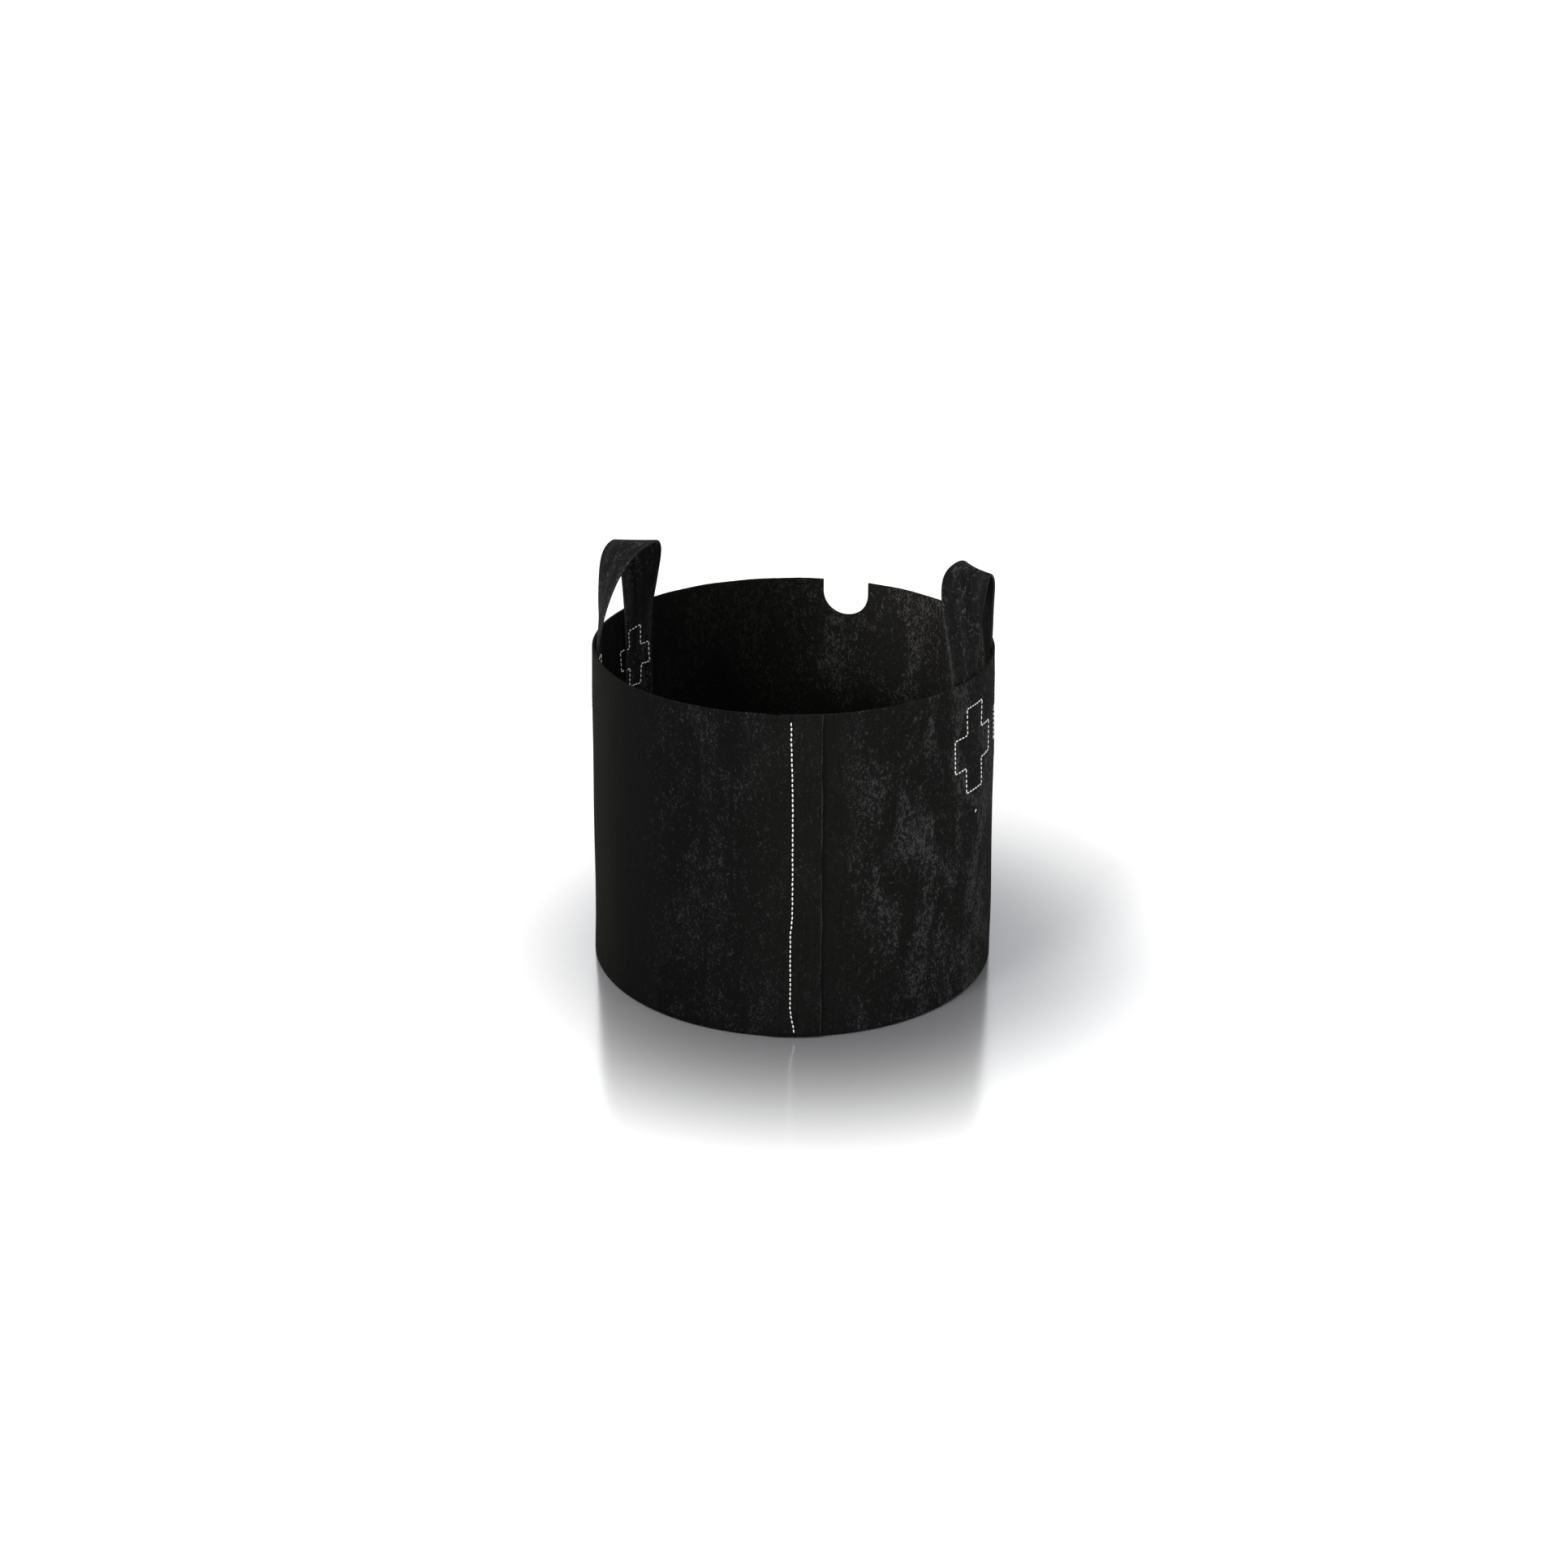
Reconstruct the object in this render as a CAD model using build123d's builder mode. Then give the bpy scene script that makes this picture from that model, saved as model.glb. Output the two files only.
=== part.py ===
"""Fabric grow bag: a sewn felt plant pot with a lapped side seam, two strap handles and a notch in its rear rim.

Millimetres, +Z up. The origin is the middle of the underside of the base. The side seam is at the front (-Y).
An azimuth is counted in degrees from the front, positive towards the right (+X), so the back is at 180.
"""

from build123d import *
from math import cos, degrees, pi, radians, sin, tan
import os

# ---- Bag ----
rim_radius = 152.4  # outer face of the felt at the rim, 12 in across
base_radius = 156.8  # outer face of the felt at the base: the wall flares a little
bag_height = 254.0  # 10 in
felt_thickness = 2.0
layer_gap = 0.2  # air between two layers of felt that lie together
strap_gap = 0.3  # air between the wall and a strap sewn to it

# ---- Lap of the side seam, in arc millimetres at the rim from the front line ----
lap_free_edge = 20.0  # raw edge of the outer layer, to the right of the stitches
lap_hidden_edge = -9.0  # raw edge of the inner layer, under the outer one
joggle_start = -24.0  # where the outer layer starts to step out over the inner one
joggle_end = -12.0
side_seam_place = -1.4

# ---- Base seam: both allowances are turned up inside the bag ----
allowance_height = 10.0
base_seam_height = 6.5

# ---- Notch in the rear rim ----
notch_azimuth = 163.4
notch_width = 38.0
notch_depth = 29.0

# ---- Handles: one strap each, both ends sewn inside the wall ----
strap_width = 34.0
strap_thickness = 2.0
strap_tail_depth = 112.0  # from the rim down to the cut end of the strap
fold_height = 13.0  # from the rim up to the line where the strap folds
fold_room = 12.0  # free stretch of strap below the fold line, where the cloth bends
sections_per_leg = 8

# Azimuth of each handle's middle, the spacing of its two legs along the wall, how far below the rim the legs leave
# the wall, and the top of the loop: the height of the strap's middle line over the rim, its distance from the bag's
# axis, how far it stands towards the rear leg, how far the flat top is turned towards the front, and how far its
# outer edge hangs down (both in degrees).
# Of each leg: how far it rises straight before it curves, how much it leans in over that rise, how far it reaches
# level at the top, and how early it twists (under 1 near the wall, over 1 near the top).
handles = {
    "left": dict(
        azimuth=-108.3,
        leg_spacing=85.0,
        lift_off=6.7,
        top=dict(height=66.5, radius=128.3, along=1.1, turn=0.0, droop=4.0),
        front=dict(rise=81.8, lean=9.0, reach=15.8, twist=0.5),
        rear=dict(rise=41.9, lean=6.3, reach=10.7, twist=0.57),
    ),
    "right": dict(
        azimuth=74.6,
        leg_spacing=95.0,
        lift_off=10.0,
        top=dict(height=69.8, radius=136.2, along=5.7, turn=37.5, droop=-3.3),
        front=dict(rise=24.5, lean=0.0, reach=21.2, twist=1.32),
        rear=dict(rise=10.0, lean=2.0, reach=10.0, twist=1.05),
    ),
}

# ---- Sewing thread ----
thread_width = 0.9
thread_proud = 0.4  # how far a stitch stands out of the cloth
thread_sunk = 0.5  # how deep the thread is pulled into the cloth
stitch_length = 3.15
stitch_pitch = 3.86
side_seam_margin = 4.3  # from the first and last stitch to the cut edge and to the base

# Each attachment is one closed line of stitches in the outline of a cross: overall width and height, the width of
# its upright, the height of its bar, how far below the rim it starts, and how far it is sewn off the strap's middle
# line, towards the other leg.
crosses = {
    "left": dict(width=35.0, height=48.0, upright=15.0, bar=17.0, below_rim=18.0, shift=5.0),
    "right": dict(width=56.0, height=66.0, upright=24.0, bar=25.0, below_rim=22.0, shift=10.0),
}
tack_below_rim = 107.0  # the loose tack stitch at the tail of the right front leg
tack_across = 13.0  # its place across the strap, from the strap's middle line

wall_slope = (rim_radius - base_radius) / bag_height


def out_direction(azimuth):
    """Unit vector that points away from the bag's axis."""
    return Vector(sin(radians(azimuth)), -cos(radians(azimuth)), 0)


def along_direction(azimuth):
    """Unit vector along the wall, towards a larger azimuth."""
    return Vector(cos(radians(azimuth)), sin(radians(azimuth)), 0)


def wall_radius(height):
    """Radius of the wall's outer face, under the lap."""
    return base_radius + wall_slope * height


def arc_to_azimuth(arc):
    return degrees(arc / rim_radius)


def round_point(radius, azimuth):
    """Point of a plan section."""
    return out_direction(azimuth) * radius


def write(piece, name):
    piece.part.label = name
    export_step(piece.part, f"parts/{name}.step")


def cone_shell(inner_offset, outer_offset, low, high):
    """Shell that follows the flared wall, between two offsets from the wall's outer face."""
    with BuildPart() as shell:
        with BuildSketch(Plane.XZ):
            with BuildLine():
                Polyline(
                    (wall_radius(low) + inner_offset, low),
                    (wall_radius(low) + outer_offset, low),
                    (wall_radius(high) + outer_offset, high),
                    (wall_radius(high) + inner_offset, high),
                    close=True,
                )
            make_face()
        revolve(axis=Axis.Z)
    return shell.part


def facing_plane(azimuth):
    """Upright plane through the bag's axis that looks out at this azimuth: x along the wall, y up."""
    return Plane(origin=(0, 0, 0), x_dir=along_direction(azimuth), z_dir=out_direction(azimuth))


def line_plane(azimuth, offset):
    """Plane of a seam that runs down the wall: x out of the wall, y up along it, origin on the base."""
    up = out_direction(azimuth) * wall_slope + Vector(0, 0, 1)
    out = out_direction(azimuth) - Vector(0, 0, 1) * wall_slope
    foot = out_direction(azimuth) * (base_radius + offset)
    return Plane(origin=foot, x_dir=out.normalized(), z_dir=out.cross(up).normalized())


os.makedirs("parts", exist_ok=True)

# ---- Wall panel: one strip of felt, lapped on itself at the front ----
free_azimuth = arc_to_azimuth(lap_free_edge)
hidden_azimuth = arc_to_azimuth(lap_hidden_edge)
joggle_azimuths = (arc_to_azimuth(joggle_start), arc_to_azimuth(joggle_end))
lap_step = felt_thickness + layer_gap
back = 180.0


def add_arc(radius, start, end):
    """Arc of a plan section between two azimuths."""
    middle = (start + end) / 2
    ThreePointArc(round_point(radius, start), round_point(radius, middle), round_point(radius, end))


turned_in = 2 * felt_thickness + layer_gap  # the wall and its turned-up allowance, through both layers
with BuildPart() as wall_panel:
    for height in (0, bag_height):
        outer = wall_radius(height)
        inner = outer - felt_thickness
        start, end = joggle_azimuths
        with BuildSketch(Plane.XY.offset(height)):
            with BuildLine():
                add_arc(inner, hidden_azimuth, back)
                add_arc(inner, back, start + 360)
                Line(round_point(inner, start), round_point(inner + lap_step, end))
                add_arc(inner + lap_step, end, free_azimuth)
                Line(round_point(inner + lap_step, free_azimuth), round_point(outer + lap_step, free_azimuth))
                add_arc(outer + lap_step, free_azimuth, end)
                Line(round_point(outer + lap_step, end), round_point(outer, start))
                add_arc(outer, start + 360, back)
                add_arc(outer, back, hidden_azimuth)
                Line(round_point(outer, hidden_azimuth), round_point(inner, hidden_azimuth))
            make_face()
    loft(ruled=True)
    with BuildSketch(Plane.XZ):
        with BuildLine():
            Polyline(
                (wall_radius(0) - turned_in, 0),
                (wall_radius(0) - felt_thickness / 2, 0),
                (wall_radius(0) - felt_thickness / 2, felt_thickness),
                (wall_radius(0) - felt_thickness - layer_gap, felt_thickness),
                (wall_radius(allowance_height) - felt_thickness - layer_gap, allowance_height),
                (wall_radius(allowance_height) - turned_in, allowance_height),
                close=True,
            )
        make_face()
    revolve(axis=Axis.Z)
    with BuildSketch(facing_plane(notch_azimuth)):
        with Locations((0, bag_height - notch_depth + notch_width / 2)):
            Circle(notch_width / 2)
            Rectangle(notch_width, notch_depth, align=(Align.CENTER, Align.MIN))
    extrude(amount=rim_radius + notch_width, mode=Mode.SUBTRACT)
write(wall_panel, "wall_panel")

# ---- Base panel: a felt disc with its edge turned up against the wall's allowance ----
base_edge = turned_in + layer_gap
with BuildPart() as base_panel:
    with BuildSketch(Plane.XZ):
        with BuildLine():
            Polyline(
                (0, 0),
                (wall_radius(0) - base_edge, 0),
                (wall_radius(allowance_height) - base_edge, allowance_height),
                (wall_radius(allowance_height) - base_edge - felt_thickness, allowance_height),
                (wall_radius(0) - base_edge - felt_thickness, felt_thickness),
                (0, felt_thickness),
                close=True,
            )
        make_face()
    revolve(axis=Axis.Z)
write(base_panel, "base_panel")

# ---- Base seam: one thread on the base's side of the two allowances, one on the wall's side ----
base_thread_faces = {
    "base_seam_needle_thread": (-base_edge - felt_thickness - thread_proud, -base_edge - felt_thickness / 2),
    "base_seam_bobbin_thread": (-turned_in + felt_thickness / 2, -turned_in + felt_thickness),
}
for name, (inner_face, outer_face) in base_thread_faces.items():
    low = base_seam_height - thread_width / 2
    thread_ring = cone_shell(inner_face, outer_face, low, low + thread_width)
    with BuildPart() as base_thread:
        add(thread_ring)
    write(base_thread, name)

# ---- Side seam: the thread dips into the felt between its stitches ----
side_azimuth = arc_to_azimuth(side_seam_place)


def seam_thread(face_offset, outwards, low):
    """Thread of the side seam on the wall's outside (outwards 1) or inside (-1), from a height up to the rim."""
    plane = line_plane(side_azimuth, face_offset)
    high = bag_height - side_seam_margin
    middle = (low + high) / 2
    seam_length = high - low
    stitch_count = round(seam_length / stitch_pitch)
    with BuildPart() as thread:
        with BuildSketch(plane):
            with Locations((-outwards * thread_sunk / 2, middle)):
                Rectangle(thread_sunk, seam_length)
            with Locations((outwards * thread_proud / 2, middle)):
                with GridLocations(0, seam_length / stitch_count, 1, stitch_count):
                    Rectangle(thread_proud, stitch_length)
        extrude(amount=thread_width / 2, both=True)
    return thread


write(seam_thread(lap_step, 1, side_seam_margin), "side_seam_needle_thread")
write(seam_thread(-felt_thickness, -1, allowance_height + stitch_pitch), "side_seam_bobbin_thread")

# ---- Straps: places of the legs ----
strap_face = -felt_thickness - strap_gap  # the strap's outer face, from the wall's outer face
strap_inside = strap_face - strap_thickness
tail_height = bag_height - strap_tail_depth
stub_top = bag_height + fold_height - fold_room
stub_shell = cone_shell(strap_inside, strap_face, tail_height, stub_top)
legs = {}
leg_turns = {}
for side, handle in handles.items():
    leg_turns[side] = arc_to_azimuth(handle["leg_spacing"] / 2)
    towards_rear = leg_turns[side] if handle["azimuth"] > 0 else -leg_turns[side]
    legs[side, "front"] = handle["azimuth"] - towards_rear
    legs[side, "rear"] = handle["azimuth"] + towards_rear

for (side, end), azimuth in legs.items():
    with BuildPart() as handle_end:
        with BuildSketch(facing_plane(azimuth)):
            with Locations((0, tail_height)):
                Rectangle(strap_width, stub_top - tail_height, align=(Align.CENTER, Align.MIN))
        extrude(amount=2 * rim_radius)
        add(stub_shell, mode=Mode.INTERSECT)
    write(handle_end, f"handle_{side}_{end}_end")

# ---- Strap loops: the strap twists on its way up each leg, so that it lies flat across at the top ----
leg_radius = rim_radius + strap_face - strap_thickness / 2


def curve_point(points, place):
    """Point of a cubic Bezier curve, and the curve's direction there."""
    a, b, c, d = points
    rest = 1 - place
    point = a * rest**3 + b * 3 * rest**2 * place + c * 3 * rest * place**2 + d * place**3
    direction = (b - a) * rest**2 + (c - b) * 2 * rest * place + (d - c) * place**2
    return point, direction


def strap_plane(side, end, place):
    """Plane of the strap's section, its x across the strap: place runs from 0 at the wall to 1 at the loop's top.

    Worked out in the handle's own directions: out from the bag's axis, along the wall to the rear, up from the rim.
    """
    handle = handles[side]
    leg, top = handle[end], handle["top"]
    half_turn = radians(leg_turns[side])
    top_turn = radians(top["turn"])
    to_rear = 1 if end == "rear" else -1
    foot = Vector(leg_radius * cos(half_turn), to_rear * leg_radius * sin(half_turn), -handle["lift_off"])
    summit = Vector(top["radius"], top["along"], top["height"])
    level = Vector(sin(top_turn), cos(top_turn), 0) * to_rear
    curve = (foot, foot + Vector(-leg["lean"], 0, leg["rise"]), summit + level * leg["reach"], summit)
    point, direction = curve_point(curve, place)
    wall_share = cos(pi / 2 * place ** leg["twist"])
    yaw = -to_rear * (pi / 2 - half_turn) * wall_share - top_turn * (1 - wall_share)
    across = Vector(cos(yaw), sin(yaw), -tan(radians(top["droop"])) * (1 - wall_share))
    across = across - direction * (across.dot(direction) / direction.dot(direction))
    direction = direction * -to_rear
    out = out_direction(handle["azimuth"])
    rearward = along_direction(handle["azimuth"]) * (1 if handle["azimuth"] > 0 else -1)
    return Plane(
        origin=out * point.X + rearward * point.Y + Vector(0, 0, bag_height + point.Z),
        x_dir=(out * across.X + rearward * across.Y + Vector(0, 0, across.Z)).normalized(),
        z_dir=(out * direction.X + rearward * direction.Y + Vector(0, 0, direction.Z)).normalized(),
    )


def fold_place(side, end):
    """Place just over the fold line, found by halving."""
    low, high = 0.0, 1.0
    for _ in range(30):
        middle = (low + high) / 2
        if strap_plane(side, end, middle).origin.Z < bag_height + fold_height + strap_gap:
            low = middle
        else:
            high = middle
    return high


for side in handles:
    section_planes = {}
    for end in ("front", "rear"):
        start = fold_place(side, end)
        places = [start + (1 - start) * step / sections_per_leg for step in range(sections_per_leg + 1)]
        section_planes[end] = [strap_plane(side, end, place) for place in places]
    with BuildPart() as handle_loop:
        for plane in section_planes["front"] + section_planes["rear"][-2::-1]:
            with BuildSketch(plane):
                Rectangle(strap_width, strap_thickness)
        loft(ruled=True)
    write(handle_loop, f"handle_{side}_loop")


# ---- Cross stitching of the four strap ends ----
def cross_outline(cross, centre_height):
    """Corners of a cross about its centre, as points of the facing plane."""
    x_bar, x_upright = cross["width"] / 2, cross["upright"] / 2
    y_bar, y_upright = cross["bar"] / 2, cross["height"] / 2
    quarter = [(x_upright, y_upright), (x_upright, y_bar), (x_bar, y_bar)]
    right = quarter + [(x, -y) for x, y in reversed(quarter)]
    corners = right + [(-x, -y) for x, y in right]
    return [(x, y + centre_height) for x, y in corners]


def cross_thread(azimuth, corners, shell):
    """One closed line of lockstitch that follows the curved cloth."""
    with BuildPart() as thread:
        with BuildSketch(facing_plane(azimuth)):
            with BuildLine():
                Polyline(*corners, close=True)
            make_face()
            offset(amount=-thread_width, mode=Mode.SUBTRACT)
        extrude(amount=2 * rim_radius)
        add(shell, mode=Mode.INTERSECT)
    return thread


for (side, end), leg_azimuth in legs.items():
    cross = crosses[side]
    middle_azimuth = handles[side]["azimuth"]
    towards_middle = 1 if middle_azimuth > leg_azimuth else -1
    azimuth = leg_azimuth + towards_middle * arc_to_azimuth(cross["shift"])
    top = bag_height - cross["below_rim"]
    bottom = top - cross["height"]
    corners = cross_outline(cross, (top + bottom) / 2)
    margin = thread_width
    levels = (bottom - margin, top + margin)
    outside = cross_thread(azimuth, corners, cone_shell(-thread_sunk, thread_proud, *levels))
    write(outside, f"cross_{side}_{end}_needle_thread")
    inside_shell = cone_shell(strap_inside - thread_proud, -felt_thickness + thread_sunk, *levels)
    write(cross_thread(azimuth, corners, inside_shell), f"cross_{side}_{end}_bobbin_thread")

# ---- Tack stitch at the tail of the right front leg ----
tack_height = bag_height - tack_below_rim
tack_shell = cone_shell(-thread_sunk, thread_proud, tack_height - stitch_length, tack_height + stitch_length)
with BuildPart() as tack:
    with BuildSketch(facing_plane(legs["right", "front"])):
        with Locations((tack_across, tack_height)):
            Rectangle(stitch_length, thread_width)
    extrude(amount=2 * rim_radius)
    add(tack_shell, mode=Mode.INTERSECT)
write(tack, "strap_tail_tack_thread")
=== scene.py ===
"""Fabric grow bag: the felt, the straps and every stitch, built around the bag's working frame."""

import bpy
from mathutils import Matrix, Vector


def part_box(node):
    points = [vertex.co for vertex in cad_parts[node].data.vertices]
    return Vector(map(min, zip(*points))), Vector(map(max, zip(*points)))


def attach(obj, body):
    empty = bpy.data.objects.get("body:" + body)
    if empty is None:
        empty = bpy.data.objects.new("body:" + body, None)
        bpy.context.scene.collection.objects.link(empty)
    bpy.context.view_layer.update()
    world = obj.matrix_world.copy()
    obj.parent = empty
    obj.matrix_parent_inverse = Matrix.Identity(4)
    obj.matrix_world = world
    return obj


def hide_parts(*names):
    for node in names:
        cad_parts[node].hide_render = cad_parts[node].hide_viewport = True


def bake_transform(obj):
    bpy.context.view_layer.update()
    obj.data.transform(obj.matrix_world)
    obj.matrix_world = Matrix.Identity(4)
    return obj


bl_info = {
    "name": "Fabric Grow Bag",
    "version": (1, 0, 0),
    "blender": (4, 5, 0),
    "location": "View3D > Sidebar > Grow Bag",
    "description": "Builds the sewn felt, straps and threads of a fabric grow bag",
    "category": "Add Mesh",
}

import random
from math import atan2, cos, exp, floor, pi, radians, sin, sqrt, tan

import bmesh
import bpy
from bpy.props import FloatProperty, FloatVectorProperty, IntProperty, PointerProperty
from mathutils import Matrix, Vector

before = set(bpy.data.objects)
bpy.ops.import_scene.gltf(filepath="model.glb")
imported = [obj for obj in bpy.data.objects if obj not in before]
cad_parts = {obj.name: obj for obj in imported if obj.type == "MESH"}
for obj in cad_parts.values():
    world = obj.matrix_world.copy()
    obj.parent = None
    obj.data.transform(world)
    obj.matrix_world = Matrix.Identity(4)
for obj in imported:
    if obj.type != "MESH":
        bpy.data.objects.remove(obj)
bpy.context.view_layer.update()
wall_low, wall_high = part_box("wall_panel")
FULL_TURN = 2 * pi
NOTCH_AZIMUTH = radians(163.4)


# -----------------------------------------------------------------------------
# Sizes and colours a user would change
# -----------------------------------------------------------------------------
def length_property(name, description, default):
    return FloatProperty(name=name, description=description, default=default, unit="LENGTH", precision=5)


def colour_property(name, description, default):
    return FloatVectorProperty(
        name=name, description=description, default=default, subtype="COLOR", size=3, min=0.0, max=1.0
    )


class GrowBagSizes(bpy.types.PropertyGroup):
    """Sizes of the bag's cloth and sewing."""

    bag_height: length_property("Height", "From the ground to the rim", wall_high.z)
    rim_radius: length_property("Rim radius", "Outer face of the felt at the rim", 0.1524)
    base_radius: length_property("Base radius", "Outer face of the felt at the ground", -wall_low.x)
    felt_thickness: length_property("Felt thickness", "Thickness of the wall and of the base", 0.002)
    layer_gap: length_property("Layer gap", "Air between two layers of felt", 0.0002)
    lap_free_edge: length_property("Lap edge", "Raw outer edge of the lap, from the front line", 0.020)
    lap_hidden_edge: length_property("Hidden edge", "Raw inner edge of the lap, from the front line", -0.009)
    joggle_start: length_property("Step start", "Where the outer layer starts to step out", -0.024)
    joggle_end: length_property("Step end", "Where the outer layer lies over the inner one", -0.012)
    allowance_height: length_property("Base allowance", "Height of the turned-up edges at the base", 0.010)
    base_seam_height: length_property("Base seam height", "From the ground to the base seam", 0.0065)
    notch_azimuth: FloatProperty(
        name="Notch azimuth", description="From the front to the right", default=NOTCH_AZIMUTH, subtype="ANGLE"
    )
    notch_width: length_property("Notch width", "Width of the notch in the rear rim", 0.038)
    notch_depth: length_property("Notch depth", "Depth of the notch in the rear rim", 0.029)
    strap_width: length_property("Strap width", "Width of both handle straps", 0.0335)
    strap_thickness: length_property("Strap thickness", "Thickness of both handle straps", 0.002)
    strap_gap: length_property("Strap gap", "Air between the wall and a strap sewn to it", 0.0003)
    strap_tail_depth: length_property("Strap tail", "From the rim down to the strap's cut end", 0.112)
    stitch_pitch: length_property("Stitch pitch", "From one stitch to the next", 0.00386)
    stitch_width: length_property("Stitch width", "Width of one stitch", 0.00102)
    thread_seed: IntProperty(name="Sewing seed", description="Seed of the sewing's unevenness", default=7)


class GrowBagFinish(bpy.types.PropertyGroup):
    """Colours of the bag's felt, straps and thread."""

    felt: colour_property("Felt", "Body of the felt outside", (0.0048, 0.0048, 0.0048))
    felt_fibre: colour_property("Felt fibres", "Pale fibres outside", (0.036, 0.036, 0.036))
    lining: colour_property("Felt inside", "Body of the felt inside", (0.0029, 0.0028, 0.0026))
    lining_fibre: colour_property("Fibres inside", "Pale fibres inside", (0.080, 0.078, 0.071))
    strap: colour_property("Strap", "Body of the straps", (0.0040, 0.0040, 0.0041))
    strap_fibre: colour_property("Strap fibres", "Worn fibres of the straps", (0.045, 0.045, 0.045))
    needle_thread: colour_property("Needle thread", "Thread on the outside", (0.88, 0.87, 0.85))
    bobbin_thread: colour_property("Bobbin thread", "Thread on the inside", (0.72, 0.71, 0.68))


# Soft places of the hand-made wall: azimuth in degrees, height, reach around in degrees, reach up, and
# how far out.
SOFT_PLACES = (
    (-90.0, 0.060, 38.0, 0.045, -0.0008),
    (-90.0, 0.215, 30.0, 0.030, 0.0003),
    (90.0, 0.175, 30.0, 0.036, 0.0009),
    (90.0, 0.045, 30.0, 0.030, 0.0005),
    (90.0, 0.252, 25.0, 0.012, -0.0005),
    (-30.0, 0.130, 24.0, 0.060, -0.0006),
    (34.0, 0.100, 20.0, 0.070, -0.0005),
    (150.0, 0.120, 30.0, 0.080, 0.0008),
    (-150.0, 0.150, 26.0, 0.070, -0.0008),
    (180.0, 0.060, 30.0, 0.050, -0.0006),
)

# Each handle, in metres and degrees, in its own directions: out from the axis, towards the rear leg, up.
HANDLES = {
    "left": dict(
        azimuth=-108.3,
        leg_spacing=0.085,
        lift_off=0.0067,
        top=dict(height=0.0665, radius=0.1283, along=0.0011, turn=0.0, droop=4.0),
        front=dict(rise=0.0818, lean=0.0090, reach=0.0158, twist=0.50),
        rear=dict(rise=0.0419, lean=0.0063, reach=0.0107, twist=0.57),
        cross=dict(width=0.035, height=0.048, upright=0.015, bar=0.017, below_rim=0.018, shift=0.005),
        rear_cross_back=0.0,
    ),
    "right": dict(
        azimuth=74.6,
        leg_spacing=0.095,
        lift_off=0.0100,
        top=dict(height=0.0698, radius=0.1362, along=0.0057, turn=37.5, droop=-3.3),
        front=dict(rise=0.0245, lean=0.0, reach=0.0212, twist=1.32),
        rear=dict(rise=0.0100, lean=0.0020, reach=0.0100, twist=1.05),
        cross=dict(width=0.056, height=0.066, upright=0.024, bar=0.025, below_rim=0.022, shift=0.010),
        rear_cross_back=0.004,
    ),
}
STATION_STEP = 0.0015  # between stations along a strap
EASING_PASSES = 30  # that take the kinks out of a strap's line

# Route of the side seam: height, and place around from the front line.
SIDE_SEAM_ROUTE = (
    (0.0045, 0.0009),
    (0.025, -0.0019),
    (0.084, -0.0019),
    (0.100, -0.0006),
    (0.180, -0.0006),
    (0.250, -0.0020),
)


# -----------------------------------------------------------------------------
# Places on the cloth
# -----------------------------------------------------------------------------
def smooth_step(low, high, value):
    """0 below low, 1 above high, and a soft rise between them."""
    share = min(1.0, max(0.0, (value - low) / (high - low)))
    return share * share * (3 - 2 * share)


def out_direction(azimuth):
    return Vector((sin(azimuth), -cos(azimuth), 0.0))


def along_direction(azimuth):
    return Vector((cos(azimuth), sin(azimuth), 0.0))


def lap_step(sizes, azimuth):
    """How far the wall stands out at the lap, where the strip's far end lies over its near end."""
    arc = (azimuth - FULL_TURN) * sizes.rim_radius
    return (sizes.felt_thickness + sizes.layer_gap) * smooth_step(sizes.joggle_start, sizes.joggle_end, arc)


def softness(azimuth, height):
    """How far the soft cloth stands out from a true cone."""
    out = 0.0
    for place, level, around, up, depth in SOFT_PLACES:
        turn = (azimuth - radians(place) + pi) % FULL_TURN - pi
        out += depth * exp(-((turn / radians(around)) ** 2) - ((height - level) / up) ** 2)
    out += 0.00022 * sin(5 * azimuth + 21 * height) + 0.00016 * sin(11 * azimuth - 34 * height + 1.3)
    return out


def wall_radius(sizes, azimuth, height):
    """Radius of the wall's outer face, without the lap."""
    flare = (sizes.rim_radius - sizes.base_radius) / sizes.bag_height
    settled = smooth_step(0.0, 0.03, height)
    return sizes.base_radius + flare * height + softness(azimuth, height) * settled


def wall_point(sizes, azimuth, height, offset=0.0):
    """Point at a distance out of the wall's outer face."""
    radius = wall_radius(sizes, azimuth, height) + lap_step(sizes, azimuth) + offset
    return out_direction(azimuth) * radius + Vector((0.0, 0.0, height))


def side_seam_arc(height):
    """Place of the side seam around from the front line, at a height."""
    route = SIDE_SEAM_ROUTE
    if height <= route[0][0]:
        return route[0][1]
    for (low, start), (high, end) in zip(route, route[1:]):
        if height <= high:
            return start + (end - start) * smooth_step(low, high, height)
    return route[-1][1]


# -----------------------------------------------------------------------------
# Mesh helpers
# -----------------------------------------------------------------------------
def new_object(name, mesh_builder, material_names):
    """Object at the origin with the mesh of a bmesh."""
    mesh = bpy.data.meshes.new(name)
    mesh_builder.to_mesh(mesh)
    mesh_builder.free()
    piece = bpy.data.objects.new(name, mesh)
    bpy.context.scene.collection.objects.link(piece)
    for material_name in material_names:
        mesh.materials.append(bpy.data.materials[material_name])
    for polygon in mesh.polygons:
        polygon.use_smooth = True
    return piece


def apply_modifiers(piece, crease_angle=0.7):
    """Makes the modifiers' result the piece's own mesh, with its cut edges kept crisp."""
    piece_name = piece.data.name
    shaped = bpy.data.meshes.new_from_object(piece.evaluated_get(bpy.context.evaluated_depsgraph_get()))
    old_mesh = piece.data
    piece.modifiers.clear()
    piece.data = shaped
    bpy.data.meshes.remove(old_mesh)
    shaped.name = piece_name
    shaped.set_sharp_from_angle(angle=crease_angle)


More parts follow.
